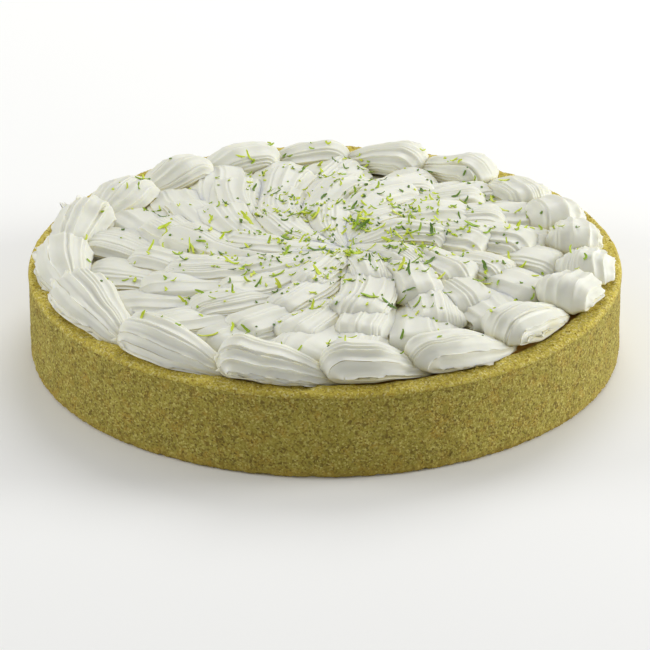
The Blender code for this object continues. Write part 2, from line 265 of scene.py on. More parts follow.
def baked_shortcrust(props):
    """Shortcrust baked in a ring: dry and so without gloss, with pale crumbs, brown pits and a yellow rim
    whose top is painted brighter, as if lit from above.
    """
    material, tree, shader, place = new_material("baked_shortcrust")
    # Most real crumbs are finer than 0.5 mm. They are drawn at 0.7 mm and more, so that they show.
    grains = add_node(tree, "ShaderNodeTexVoronoi", {"Vector": place, "Scale": 1 / (0.75 * MM)})
    fine = soft_noise(tree, place, 0.7 * MM, 3.0)
    holes = soft_noise(tree, place, 2.4 * MM, 2.0)
    bake = soft_noise(tree, place, 6 * MM, 3.0)
    patch = soft_noise(tree, place, 13 * MM, 2.0)
    height = add_node(tree, "ShaderNodeSeparateXYZ", {"Vector": place}).outputs["Z"]
    pick = add_node(tree, "ShaderNodeSeparateColor", {"Color": grains.outputs["Color"]})
    body = mix_colour(tree, ramp(tree, patch, 0.3, 0.7), rgba("#857927"), rgba(props.colour))
    layers = (
        (bake, 0.5, 0.75, "#A07D26"),
        (fine, 0.4, 0.75, "#ABA046"),
        (pick.outputs["Red"], 0.6, 1.15, "#C8BD6C"),
        (pick.outputs["Green"], 0.66, 1.0, "#7A6420"),
        (pick.outputs["Blue"], 0.8, 1.05, props.pit_colour),
        (holes, 0.6, 0.72, "#6E5C1C"),
    )
    for value, low, high, colour in layers:
        body = mix_colour(tree, ramp(tree, value, low, high), body, rgba(colour))
    # Painted light: the band at the top is made yellower, which is its own tone, and brighter, which stands
    # for the light falling on the rim from above.
    near_rim = ramp(tree, height, CRUST_HEIGHT - RIM_BAND[0], CRUST_HEIGHT - RIM_BAND[1])
    rim_yellow_and_light_share = add_node(tree, "ShaderNodeMath", {0: near_rim, 1: 0.85}, operation="MULTIPLY").outputs[0]
    near_foot = ramp(tree, height, *FOOT_BAND)
    foot_share = add_node(tree, "ShaderNodeMath", {0: near_foot, 1: 0.5}, operation="MULTIPLY").outputs[0]
    rim = mix_colour(tree, ramp(tree, fine, 0.35, 0.65), rgba("#B39C2E"), rgba(props.rim_yellow_and_painted_light))
    rim = mix_colour(tree, ramp(tree, pick.outputs["Red"], 0.7, 1.1), rim, rgba("#EBE3A4"))
    rim = mix_colour(tree, ramp(tree, pick.outputs["Green"], 0.75, 1.1), rim, rgba("#8C701C"))
    body = mix_colour(tree, rim_yellow_and_light_share, body, rim)
    body = mix_colour(tree, foot_share, body, rgba("#A58B30"))
    fill(tree, shader, {
        "Base Color": body,
        "Roughness": 0.85,
        "Specular IOR Level": 0.45,
        "Normal": bumps(tree, fine, 0.8, 0.4 * MM),
    })
    return material


def set_lemon_cream():
    """Baked lemon filling: amber and moist, with a slightly uneven skin."""
    material, tree, shader, place = new_material("set_lemon_cream")
    skin = soft_noise(tree, place, 7 * MM, 3.0)
    fill(tree, shader, {
        "Base Color": mix_colour(tree, skin, rgba("#C58A3A"), rgba("#DDB057")),
        "Roughness": 0.38,
        "Subsurface Weight": 0.2,
        "Subsurface Radius": (2.0 * MM, 1.2 * MM, 0.4 * MM),
        "Normal": bumps(tree, skin, 0.4, 0.5 * MM),
    })
    return material


def whipped_cream(props):
    """Whipped cream: light scatters a few millimetres in, so its shadows are soft, and its skin is satin."""
    material, tree, shader, place = new_material("whipped_cream")
    body = mix_colour(tree, soft_noise(tree, place, 22 * MM, 2.0), rgba(props.colour), rgba("#DADACC"))
    # Painted shade: where ambient occlusion finds creases and hollows, the cream is turned a darker beige.
    closed = add_node(tree, "ShaderNodeAmbientOcclusion", {"Distance": 5 * MM}, samples=4).outputs["AO"]
    body = mix_colour(tree, ramp(tree, closed, 0.75, 0.1), body, rgba("#E0D9B2"))
    skin = soft_noise(tree, place, 1.6 * MM, 2.0)
    fill(tree, shader, {
        "Base Color": body,
        "Roughness": 0.42,
        "Specular IOR Level": 0.35,
        "Subsurface Weight": 0.55,
        "Subsurface Radius": (1.0, 0.9, 0.55),
        "Subsurface Scale": 2.0 * MM,
        "Normal": bumps(tree, skin, 0.12, 0.3 * MM),
    })
    return material


def grated_peel(name, colour, other):
    """Grated lime peel: waxy outer skin that dries matt, uneven in colour from shred to shred."""
    material, tree, shader, place = new_material(name)
    spots = ramp(tree, soft_noise(tree, place, 6 * MM, 1.0), 0.35, 0.65)
    body = mix_colour(tree, spots, rgba(colour), rgba(other))
    fill(tree, shader, {"Base Color": body, "Roughness": 0.55})
    return material


# Crust


def spread_points(corners, step):
    """Points along a polyline, no further apart than step."""
    made = [corners[0]]
    for (r0, z0), (r1, z1) in zip(corners, corners[1:]):
        parts = max(1, math.ceil(math.hypot(r1 - r0, z1 - z0) / step))
        made += [(r0 + (r1 - r0) * k / parts, z0 + (z1 - z0) * k / parts) for k in range(1, parts + 1)]
    return made


def quarter_round(centre_radius, centre_height, radius, start_deg, steps):
    """Points of a rounded edge, a quarter turn clockwise from start_deg."""
    angles = [math.radians(start_deg - 90.0 * k / steps) for k in range(steps + 1)]
    return [(centre_radius + radius * math.cos(a), centre_height + radius * math.sin(a)) for a in angles]


CRUST_SEGMENTS = 1080
CRUST_STEP = 0.74 * MM
RIM_ROUND = 2.0 * MM
FOOT_ROUND = 2.2 * MM
EDGE_STEPS = 4

# Relief of the crust: how deep each kind goes and how wide its noise is.
CRUMB_EDGE = 0.35
PIT_DEPTH = 0.8 * MM
PIT_WIDTH = 2.7 * MM
PIT_FROM = 0.38
CHIP_DEPTH = 2.2 * MM
CHIP_WIDTH = 3.6 * MM
CHIP_FROM = 0.05
CHIP_REACH = 3.5 * MM
RAGGED_DEPTH = 0.7 * MM
RAGGED_WIDTH = 3.2 * MM
FOOT_LIFT = 0.5 * MM
FOOT_LIFT_WIDTH = 3.0 * MM

# Unevenness of the rim's height, and how fine each kind is round the rim.
RIM_WAVE = 0.35 * MM
RIM_RIPPLE = 0.4 * MM
RIM_BITE = 0.5 * MM
WAVE_FINENESS = 9
RIPPLE_FINENESS = 26
BITE_FINENESS = 55


def crust_profile():
    """Section of the crust from the middle of its floor, over the rim, to the middle of its underside."""
    inner = INNER_RADIUS
    outer = CRUST_RADIUS
    hidden = [(0.0, FLOOR_TOP), (inner, FLOOR_TOP), (inner, FILLING_TOP - 2 * MM)]
    seen = quarter_round(inner + RIM_ROUND, CRUST_HEIGHT - RIM_ROUND, RIM_ROUND, 180.0, EDGE_STEPS)
    seen += quarter_round(outer - RIM_ROUND, CRUST_HEIGHT - RIM_ROUND, RIM_ROUND, 90.0, EDGE_STEPS)
    seen += quarter_round(outer - FOOT_ROUND, FOOT_ROUND, FOOT_ROUND, 0.0, EDGE_STEPS)
    return hidden + spread_points(seen, CRUST_STEP) + [(inner, 0.0), (0.0, 0.0)]


def crust_relief(point, props):
    """How far the surface sinks in at a point of the seen part of the crust."""
    near, next_near = noise.voronoi(point / props.grain)[0][:2]
    crumb = min(1.0, (next_near - near) / CRUMB_EDGE)
    sink = props.grain_depth * (1.0 - crumb)
    sink += props.lump_depth * (0.5 + 0.5 * noise.noise(point / props.lump))
    hole = noise.noise(point / PIT_WIDTH + Vector((7, 3, 1)))
    sink += PIT_DEPTH * max(0.0, hole - PIT_FROM)
    return sink


def rim_unevenness(x, y, radius):
    """How much higher or lower the rim is, for a direction from the middle and a radius."""
    wave = noise.noise(Vector((x * WAVE_FINENESS, y * WAVE_FINENESS, 0.0)))
    ripple = noise.noise(Vector((x * RIPPLE_FINENESS, y * RIPPLE_FINENESS, radius / (4 * MM))))
    bites = noise.noise(Vector((x * BITE_FINENESS, y * BITE_FINENESS, radius / (3 * MM))))
    return RIM_WAVE * wave + RIM_RIPPLE * ripple - RIM_BITE * max(0.0, bites)


def make_crust_mesh(props):
    """The turned section, pushed in by the crumbs, lumps and pits of its baked face."""
    profile = crust_profile()
    turn = np.linspace(0.0, 2 * math.pi, CRUST_SEGMENTS, endpoint=False)
    points = np.empty((len(profile) - 2, CRUST_SEGMENTS, 3))
    for row, (radius, height) in enumerate(profile[1:-1]):
        seen = height > FILLING_TOP - 1 * MM or radius > INNER_RADIUS + 1 * MM
        foot = max(0.0, 1.0 - height / CHIP_REACH)
        on_top = height > CRUST_HEIGHT - RIM_ROUND * 1.01
        inside = radius < INNER_RADIUS + RIM_ROUND * 0.6
        for column, angle in enumerate(turn):
            x, y = math.cos(angle), math.sin(angle)
            point = Vector((x * radius, y * radius, height))
            r, z = radius, height
            if seen:
                sink = crust_relief(point, props)
                chips = CHIP_DEPTH * foot * max(0.0, noise.noise(point / CHIP_WIDTH) - CHIP_FROM)
                ragged = RAGGED_DEPTH * noise.noise(point / RAGGED_WIDTH) if inside else 0.0
                r = radius - ragged - (0.0 if on_top and not inside else sink + chips)
                if on_top:
                    z = height - 0.8 * sink + rim_unevenness(x, y, radius)
                elif height < FOOT_ROUND / 2 and radius > INNER_RADIUS:
                    z = height + FOOT_LIFT * max(0.0, noise.noise(point / FOOT_LIFT_WIDTH))
            points[row, column] = (x * r, y * r, z)
    mesh = grid_mesh("shortcrust_shell", points, wrap=True)
    close_poles(mesh, profile[0][1], profile[-1][1], CRUST_SEGMENTS)
    return mesh


def close_poles(mesh, first_height, last_height, segments):
    """Fans the first and last ring of a turned mesh to a point on the axis."""
    shape = bmesh.new()
    shape.from_mesh(mesh)
    corners = list(shape.verts)
    for ring, height in ((corners[:segments], first_height), (corners[-segments:], last_height)):
        pole = shape.verts.new((0.0, 0.0, height))
        for a, b in zip(ring, ring[1:] + ring[:1]):
            shape.faces.new((a, b, pole))
    bmesh.ops.recalc_face_normals(shape, faces=shape.faces[:])
    shape.to_mesh(mesh)
    shape.free()


class PIE_OT_crust(bpy.types.Operator):
    """Makes the crumbly shortcrust shell in place of the plain one"""

    bl_idname = "lemon_pie.crust"
    bl_label = "Shortcrust shell"

    def execute(self, context):
        props = context.scene.pie_crust
        true_corner = Vector((CRUST_RADIUS, CRUST_RADIUS, CRUST_HEIGHT))
        if (CRUST_HIGH - true_corner).length > SIZE_SLACK:
            raise RuntimeError("the frame's crust has another size")
        mesh = make_crust_mesh(props)
        obj = piece_object("shortcrust_shell", mesh)
        mesh.shade_smooth()
        finish_piece(obj, baked_shortcrust(props), "shortcrust", "crust")
        return {"FINISHED"}


class PIE_OT_filling(bpy.types.Operator):
    """Gives the filling's own solid the look of set lemon cream"""

    bl_idname = "lemon_pie.filling"
    bl_label = "Lemon filling"

    def execute(self, context):
        obj = bpy.data.objects.get("lemon_filling")
        if obj is None:
            raise RuntimeError("the frame has no node lemon_filling")
        obj.data.materials.clear()
        obj.data.materials.append(set_lemon_cream())
        return {"FINISHED"}


# Cream


# Section of a stroke: the side angle of its two long edges, the share of its height at which the head folds
# over, and the powers by which it thins out to its tail.
SIDE_DEG = 90.0
FOLD_SHARE = 0.3
TALL_POWER = 1.9
WIDE_POWER = 2.6
PATH_STEP = 0.02

# Ridges: how far apart those of a pair and single ones are, as shares of the ring's own step.
CLOSE_PAIRS = 0.45
PAIR_GAP = (0.22, 0.4)
RIDGE_GAP = (0.75, 1.3)
STEP_SHARE = (0.75, 1.05)
HOLLOW_SHARE = (0.7, 1.25)
WIDE_VALLEY_DEG = 20.0
WIDE_VALLEY_POWER = 0.75
NARROW_VALLEY_POWER = 0.85
SCRATCH = 0.01
ROUNDING_DEG = 1.6
COLUMNS_PER_VALLEY = 10
HEAD_ROWS = 19
BODY_ROWS = 23
SHARP_DEG = 65.0

# How a stroke strays from its rule: it twists, wavers and swells, and its head is puffed smooth.
TWIST_DEG = (-10.0, 22.0)
WAVER_DEG = (2.0, 7.0)
SWELL = 0.05
PUFF = (0.35, 0.75)
PUFF_TILT_DEG = 15.0
PUFF_WIDTH_DEG = 45.0

# Torn ridges on the outer side: where they start, how soon they are full, and how far in and out they go.
TORN_SIDE_DEG = 15.0
TORN_FADE_DEG = 30.0
TORN_LIMITS = (-0.6, 1.6)

# Sag and drag of soft cream: the width of each kind and how far it goes.
SAG = (16 * MM, 1.3 * MM)
DRAG = (5 * MM, 0.25 * MM)

# Border: shells that run anticlockwise round the rim, each tail under the next head.
BORDER_TAIL_DEG = (
    13.6, 27.8, 46.1, 64.7, 84.0, 100.4, 118.6, 136.8, 154.8, 175.0,
    196.4, 222.0, 246.5, 268.7, 287.5, 309.5, 330.5, 345.5, 359.5,
)
# How much further out than the round each shell sits.
BORDER_OUT_MM = (0, -1, -1.5, -2, -2, -1.5, -1.5, -1.5, -0.5, 2, 5, 4, 3, 2.5, 2.5, 1.5, 1, 2.5, 5)
BORDER_RADIUS = 107.0 * MM
BORDER_REACH = 125.5 * MM
BORDER_EASE = 3.0 * MM
BORDER_WIDTH = 27.5 * MM
BORDER_HEIGHT = 15.7 * MM
BORDER_DROP = 3.4 * MM
BORDER_HEAD = 11.0 * MM
BORDER_LIFT = 1.5 * MM
BORDER_SPIRAL = 2.0 * MM
BORDER_TUCK_DEG = 7.0
BORDER_RIDGE_DEG = 29.0
# The shells between these bearings are torn most. The rest are torn a quarter as much.
BORDER_TORN = 0.14
TORN_FROM_DEG = 150.0
TORN_TO_DEG = 335.0
# Cream over the rim stays above this height, from just inside the wall outwards.
RIM_REST = CRUST_HEIGHT - 0.9 * MM
RIM_START = INNER_RADIUS - 0.8 * MM


def polar(radius, degrees):
    """Plan positions at a radius and a bearing."""
    angle = np.radians(degrees)
    return np.stack([radius * np.cos(angle), radius * np.sin(angle)], axis=-1)


def softened(angles, reach):
    """How far out the skin is, evened out across a small angle, as soft cream rounds its ridges."""
    weight = np.exp(-0.5 * ((angles[:, None] - angles[None, :]) / ROUNDING_DEG) ** 2) * np.gradient(angles)
    return weight @ reach / weight.sum(axis=1)


class Stroke:
    """One pull of the nozzle: it runs out under the fold, rolls over at the head and thins out to a tail.

    path gives the plan position for shares 0..1 of the way from the fold to the tail.
    """

    def __init__(self, path, width, height, lift, rest, back, draw, ridge_step_deg, torn=0.0):
        self.path = path
        self.half_width = width / 2
        self.height = height
        self.lift = lift
        self.rest = rest
        self.back = back
        self.torn = torn
        self.twist_deg = draw.uniform(*TWIST_DEG)
        self.swell = draw.uniform(0.0, 2 * math.pi)
        self.waver_deg = draw.uniform(*WAVER_DEG)
        self.puff = draw.uniform(*PUFF)
        self.draw = draw
        self.ridges = self.draw_ridges(ridge_step_deg * draw.uniform(*STEP_SHARE))

    def draw_ridges(self, step):
        """Side angles of the ridges: mostly wide valleys, here and there a pair of ridges close together."""
        angle = -SIDE_DEG - self.draw.uniform(0.2, 0.9) * step
        ridges = [angle]
        while angle < SIDE_DEG:
            close = self.draw.random() < CLOSE_PAIRS
            angle += step * self.draw.uniform(*(PAIR_GAP if close else RIDGE_GAP))
            ridges.append(angle)
        return ridges

    def columns(self, per_valley, depth):
        """Side angles gathered at the ridges, how far out the skin is at each, and which are ridges."""
        angles = []
        reach = []
        crest = []
        for start, end in zip(self.ridges, self.ridges[1:]):
            gap = end - start
            hollow = depth * self.draw.uniform(*HOLLOW_SHARE)
            wide = gap > WIDE_VALLEY_DEG
            count = per_valley if wide else per_valley // 2
            power = WIDE_VALLEY_POWER if wide else NARROW_VALLEY_POWER
            for k in range(count):
                t = 0.5 - 0.5 * math.cos(math.pi * k / count)
                angles.append(start + gap * t)
                scratch = SCRATCH * self.draw.gauss(0.0, 1.0) if k else 0.0
                reach.append(1.0 - hollow * (4 * t * (1 - t)) ** power + scratch)
                crest.append(0.0 if k else 1.0)
        angles = np.array(angles)
        inside = (angles > -SIDE_DEG) & (angles < SIDE_DEG)
        edge = np.interp([-SIDE_DEG, SIDE_DEG], angles, reach)
        angles = np.concatenate([[-SIDE_DEG], angles[inside], [SIDE_DEG]])
        reach = np.concatenate([edge[:1], np.array(reach)[inside], edge[1:]])
        return angles, softened(angles, reach), np.concatenate([[0.0], np.array(crest)[inside], [0.0]])

    def torn_edge(self, side, crest, rows):
        """How far single ridges on the outer side are dragged out, row by row."""
        outer = crest * np.clip((-side - TORN_SIDE_DEG) / TORN_FADE_DEG, 0.0, 1.0)
        outer[0] = 1.0
        rough = np.array([[self.draw.gauss(0.0, 1.0) for _ in side] for _ in range(rows)])
        rough = (rough + np.roll(rough, 1, axis=0)) / 1.4
        # The underside isn't torn, but its edge follows the one above it, so that the seam stays closed.
        under = rows // 2
        rough[:under] = 0.0
        rough[:under, 0] = rough[::-1][:under, 0]
        return self.torn * outer[None, :] * np.clip(rough, *TORN_LIMITS)

    def surface(self, per_valley, head_rows, body_rows, depth):
        """Points of the skin, row by row: in under the body, round the head, and back along the top."""
        side, reach, crest = self.columns(per_valley, depth)
        along = np.linspace(0, 1, body_rows + 1) ** 0.9
        share = np.concatenate([along[:0:-1], np.zeros(head_rows + 1), along[1:]])
        round_head = np.linspace(-90.0, 90.0, head_rows + 1)
        tilt_deg = np.concatenate([np.full(body_rows, -90.0), round_head, np.full(body_rows, 90.0)])
        tilt = np.radians(tilt_deg)
        plan = self.path(share)
        ahead = self.path(np.minimum(1, share + PATH_STEP)) - self.path(np.maximum(0, share - PATH_STEP))
        forward = ahead / np.linalg.norm(ahead, axis=1, keepdims=True)
        across = np.stack([-forward[:, 1], forward[:, 0]], axis=1)
        swell = 1 + SWELL * np.sin(self.swell + share * 9.0) * (1 - share)
        full = self.height * (1 - share ** TALL_POWER)
        fold_height = FOLD_SHARE * full
        tall = np.where(tilt_deg > 0, full * swell - fold_height, fold_height)
        wide = self.half_width * (1 - share ** WIDE_POWER) * swell
        turn = (self.twist_deg * share + self.waver_deg * np.sin(self.swell + share * 5.0)) * np.sin(tilt)
        # The two long edges neither twist nor puff, so that upper and lower side meet there.
        held = 1 - (side / SIDE_DEG) ** 2
        angle = np.radians(side[None, :] + turn[:, None] * held[None, :])
        puffed = 1.0 - self.puff * np.exp(-((tilt_deg - PUFF_TILT_DEG) / PUFF_WIDTH_DEG) ** 2)
        skin = 1.0 - (1.0 - reach)[None, :] * puffed[:, None]
        skin[:, [0, -1]] = reach[[0, -1]]
        skin += self.torn_edge(side, crest, len(share))
        up = np.cos(angle) * skin
        out = np.sin(angle) * skin
        rise = (np.sin(tilt) * tall)[:, None] * up
        fold = (np.cos(tilt) * self.back)[:, None] * up
        points = np.empty((len(share), len(side), 3))
        points[..., :2] = plan[:, None] - forward[:, None] * fold[..., None]
        points[..., :2] += across[:, None] * (wide[:, None] * out)[..., None]
        base = CREAM_BASE + self.lift * (1 - share) + self.rest * share
        points[..., 2] = (base + fold_height)[:, None] + rise
        return points


def unevenness(points, size, amount):
    """Shifts points by a smooth noise, as soft cream sags and drags."""
    flat = points.reshape(-1, 3)
    moved = [Vector(p) + noise.noise_vector(Vector(p) / size) * amount for p in flat.tolist()]
    return np.array(moved).reshape(points.shape)


def rest_on_rim(points):
    """Lifts what would sink into the rim of the crust, and holds back what would hang over its edge."""
    radius = np.hypot(points[..., 0], points[..., 1])
    start = BORDER_REACH - BORDER_EASE
    beyond = np.maximum(radius - start, 0.0)
    eased = np.minimum(radius, start) + BORDER_EASE * np.tanh(beyond / BORDER_EASE)
    points[..., :2] *= (eased / radius)[..., None]
    lifted = np.maximum(points[..., 2], RIM_REST)
    points[..., 2] = np.where(radius > RIM_START, lifted, points[..., 2])
    return points


def add_stroke(shape, points):
    """Adds a stroke to a bmesh as a closed skin: its two long edges and its two ends meet."""
    rows, columns = points.shape[:2]
    tip = shape.verts.new(points[0, 0])
    grid = [[shape.verts.new(p) for p in row] for row in points[1:-1]]
    made = [tip] + [vertex for row in grid for vertex in row]
    for lower, upper in zip(grid, grid[1:]):
        for left in range(columns - 1):
            shape.faces.new((lower[left], lower[left + 1], upper[left + 1], upper[left]))
    for left in range(columns - 1):
        shape.faces.new((grid[-1][left], grid[-1][left + 1], tip))
        shape.faces.new((grid[0][left + 1], grid[0][left], tip))
    bmesh.ops.remove_doubles(shape, verts=made, dist=0.002 * MM)


def border_strokes(draw, detail):
    """Shells round the rim. Each starts on the tail of the one before it."""
    strokes = []
    tails = BORDER_TAIL_DEG
    for index, tail_deg in enumerate(tails):
        start_deg = tails[index - 1] - (360.0 if index == 0 else 0.0)
        head_deg = start_deg + math.degrees(BORDER_HEAD / BORDER_RADIUS)
        end_deg = tail_deg + BORDER_TUCK_DEG
        radius = BORDER_RADIUS + BORDER_OUT_MM[index] * MM + draw.uniform(-1.0, 1.0) * MM

        def path(share, head_deg=head_deg, end_deg=end_deg, radius=radius):
            return polar(radius + BORDER_SPIRAL * share, head_deg + (end_deg - head_deg) * share)

        drop = BORDER_DROP * max(0.0, math.sin(math.radians(head_deg)))
        width = BORDER_WIDTH * draw.uniform(0.95, 1.04)
        height = BORDER_HEIGHT * draw.uniform(0.93, 1.07) - drop
        # The solid model makes one more draw for each stroke. Without it the two would part.
        draw.uniform(0.0, 1.0)
        torn = BORDER_TORN if TORN_FROM_DEG < head_deg % 360.0 < TORN_TO_DEG else BORDER_TORN / 4
        strokes.append(
            Stroke(path, width, height, BORDER_LIFT, 0.0, BORDER_HEAD, detail, BORDER_RIDGE_DEG, torn))
    return strokes


# Swirl: the rays flow in along spirals, round a point a little to the right of the middle.
SWIRL_MIDDLE = np.array((9.0 * MM, -1.0 * MM))
SWIRL_REACH = 96.0 * MM
SWIRL_TURN_DEG = 55.0
SWIRL_SKEW_DEG = 20.0
SWIRL_MOST_DEG = 120.0
SWIRL_POWER = 1.3


class Ring(NamedTuple):
    """One round of strokes that flow inwards: where they start and end, and how stout they are."""

    count: int
    first_deg: float
    head: float
    tail: float
    width: float
    height: float
    lift: float
    rest: float
    back: float
    ridge_deg: float


# Heads are taller on the right and lower on the left by this share. Grooves are shallower than the border's.
RAY_TILT = 0.18
RAY_DEPTH = 0.85
RINGS = {
    "cream_outer_rays": Ring(
        20, 10, 94 * MM, 46 * MM, 31 * MM, 8.5 * MM, 1.0 * MM, 2.5 * MM, 8 * MM, 32.0),
    "cream_second_rays": Ring(
        18, 3, 77 * MM, 24 * MM, 28 * MM, 10.5 * MM, 2.0 * MM, 4.5 * MM, 9 * MM, 30.0),
    "cream_third_rays": Ring(
        13, 2, 60 * MM, 8 * MM, 28 * MM, 10.5 * MM, 4.0 * MM, 7.5 * MM, 9 * MM, 29.0),
    "cream_middle_rays": Ring(
        9, 10, 41 * MM, -4 * MM, 24 * MM, 9.0 * MM, 6.5 * MM, 10.0 * MM, 8 * MM, 29.0),
}


def inward(radius):
    """0 at the reach of the swirl and 1 at its middle."""
    return np.maximum(0.0, 1.0 - radius / SWIRL_REACH)


def swirl_path(head_deg, head, tail, turn_deg):
    """The spiral from a head at one radius to a tail at another."""
    start = inward(head) ** SWIRL_POWER

    def path(share):
        radius = head + (tail - head) * share
        bearing_deg = head_deg + turn_deg * (inward(radius) ** SWIRL_POWER - start)
        return polar(radius, bearing_deg) + SWIRL_MIDDLE * inward(radius)[:, None]

    return path


def ray_strokes(ring, draw, detail):
    """Strokes whose heads stand on a circle, and which flow in with the swirl."""
    strokes = []
    for number in range(ring.count):
        head_deg = ring.first_deg + 360.0 * number / ring.count + draw.uniform(-4.0, 4.0)
        skew = SWIRL_SKEW_DEG * math.cos(math.radians(head_deg - SWIRL_MOST_DEG))
        turn_deg = (SWIRL_TURN_DEG + skew) * draw.uniform(0.85, 1.15)
        head = ring.head + draw.uniform(-4.0, 4.0) * MM
        tail = ring.tail + draw.uniform(0.0, 3.0) * MM
        tilt = 1.0 + RAY_TILT * math.cos(math.radians(head_deg))
        width = ring.width * draw.uniform(0.9, 1.08)
        height = ring.height * tilt * draw.uniform(0.9, 1.1)
        back = ring.back * draw.uniform(0.9, 1.15)
        # One more draw, as for the border.
        draw.uniform(0.0, 1.0)
        path = swirl_path(head_deg, head, tail, turn_deg)
        strokes.append(Stroke(path, width, height, ring.lift, ring.rest, back, detail, ring.ridge_deg))
    return strokes


def piping_plan(seed):
    """Every stroke of the pie, group by group, in the order that draws them."""
    draw = random.Random(seed)
    detail = random.Random(seed + 1)
    plan = {"cream_border": border_strokes(draw, detail)}
    for name, ring in RINGS.items():
        plan[name] = ray_strokes(ring, draw, detail)
    return plan


def cream_mesh(name, strokes, depth):
    """One mesh of several strokes."""
    shape = bmesh.new()
    for stroke in strokes:
        points = stroke.surface(COLUMNS_PER_VALLEY, HEAD_ROWS, BODY_ROWS, depth)
        points = unevenness(points, *SAG)
        points = unevenness(points, *DRAG)
        add_stroke(shape, rest_on_rim(points))
    bmesh.ops.recalc_face_normals(shape, faces=shape.faces[:])
    mesh = bpy.data.meshes.new(name)
    shape.to_mesh(mesh)
    shape.free()
    mesh.shade_smooth()
    mesh.set_sharp_from_angle(angle=math.radians(SHARP_DEG))
    return mesh


# Bed: (radius, height over the filling) of the mound that the rays lie on.
BED_MM = (
    (103.0, -0.3), (101.0, 1.8), (93.0, 2.6), (84.0, 3.0), (72.0, 3.8), (60.0, 5.2), (41.0, 7.8), (20.0, 9.8),
    (0.5, 10.6),
)
BED_SEGMENTS = 180
BED_SAG = (14 * MM, 1.0 * MM)


def bed_mesh():
    """A low mound that the rays lie on, and that is seen in the gaps between them and the border."""
    turn = np.linspace(0.0, 2 * math.pi, BED_SEGMENTS, endpoint=False)
    radius = np.array([r for r, _ in BED_MM])[:, None] * MM
    height = np.array([z for _, z in BED_MM])[:, None] * MM + FILLING_TOP
    points = np.stack([radius * np.cos(turn), radius * np.sin(turn), height + 0 * turn], axis=-1)
    mesh = grid_mesh("cream_bed", unevenness(points, *BED_SAG), wrap=True)
    close_poles(mesh, height[0, 0], height[-1, 0], BED_SEGMENTS)
    mesh.shade_smooth()
    return mesh


class PIE_OT_cream(bpy.types.Operator):
    """Pipes the border shells and four rounds of rays"""

    bl_idname = "lemon_pie.cream"
    bl_label = "Piped cream"

    def execute(self, context):
        props = context.scene.pie_cream
        material = whipped_cream(props)
        # Without a seed, noise vectors differ from one run to the next.
        noise.seed_set(props.seed)
        plan = piping_plan(props.seed)
        if not all(plan.values()):
            raise RuntimeError("a round of the piping has no strokes")
        for name, strokes in plan.items():
            depth = props.ridge_depth * (RAY_DEPTH if name in RINGS else 1.0)
            obj = piece_object(name, cream_mesh(name, strokes, depth))
            finish_piece(obj, material, "whipped_cream", "piped_cream")
        finish_piece(piece_object("cream_bed", bed_mesh()), material, "whipped_cream", "piped_cream")
        return {"FINISHED"}


# Toppings


SHRED_STEPS = 7
SHRED_THICKNESS = 0.3 * MM
SHRED_COUNT = 10
SHRED_LENGTH = (2.2, 7.5)
SPECK_COUNT = 7
SPECK_LENGTH = (0.8, 2.0)
ZEST_MIDDLE = (10 * MM, 8 * MM, 0.0)
ZEST_REACH = 112 * MM
CRUMB_COUNT = 6
CRUMB_SIZE = (0.5, 1.3)
CRUMB_BAND = (118.5 * MM, 125.5 * MM)
CRUMB_SEED = 5


def shred_mesh(name, length, width, draw):
    """A curled strip of peel with a rough outline, with its underside at z = 0."""
    turn = draw.uniform(-1.3, 1.3)
    lift = draw.uniform(0.05, 0.4) * length
    heading = -turn / 2
    spot = Vector((0, 0, 0))
    shape = bmesh.new()
    rings = []
    for k in range(SHRED_STEPS + 1):
        share = k / SHRED_STEPS
        half = width * (0.45 + 0.55 * math.sin(math.pi * share) ** 0.5) * draw.uniform(0.75, 1.15) / 2
        side = Vector((-math.sin(heading), math.cos(heading), 0)) * half
        rise = Vector((0, 0, lift * (2 * share - 1) ** 2 * 0.5))
        thick = Vector((0, 0, SHRED_THICKNESS))
        rings.append([shape.verts.new(spot + rise + p) for p in (side, side + thick, thick - side, -side)])
        spot = spot + Vector((math.cos(heading), math.sin(heading), 0)) * (length / SHRED_STEPS)
        heading += turn / SHRED_STEPS + draw.gauss(0.0, 0.22)
    for first, second in zip(rings, rings[1:]):
        for k in range(4):
            shape.faces.new((first[k], first[k - 1], second[k - 1], second[k]))
    shape.faces.new(rings[0])
    shape.faces.new(rings[-1][::-1])
    bmesh.ops.recalc_face_normals(shape, faces=shape.faces[:])
    bmesh.ops.translate(shape, verts=shape.verts[:], vec=-spot / 2)
    mesh = bpy.data.meshes.new(name)
    shape.to_mesh(mesh)
    shape.free()
    return mesh


def crumb_mesh(name, size, draw):
    """A lumpy crumb."""
    shape = bmesh.new()
    bmesh.ops.create_icosphere(shape, subdivisions=1, radius=size / 2)
    for vertex in shape.verts:
        vertex.co *= draw.uniform(0.7, 1.25)
    mesh = bpy.data.meshes.new(name)
    shape.to_mesh(mesh)
    shape.free()
    return mesh


def hidden_collection(name, objects):
    """A collection that the node tree reads and that no render shows."""
    made = bpy.data.collections.new(name)
    for obj in objects:
        made.objects.link(obj)
    return made


SCATTER_TREE = "scatter_on_surface"
SCATTER_SOCKETS = (
    ("Geometry", "Geometry"), ("Target", "Collection"), ("Pieces", "Collection"), ("Density", "Float"),
    ("Middle", "Vector"), ("Spread", "Float"), ("Evenness", "Float"), ("Clump", "Float"),
    ("Least size", "Float"), ("Most size", "Float"), ("Seed", "Int"), ("Material", "Material"),
)


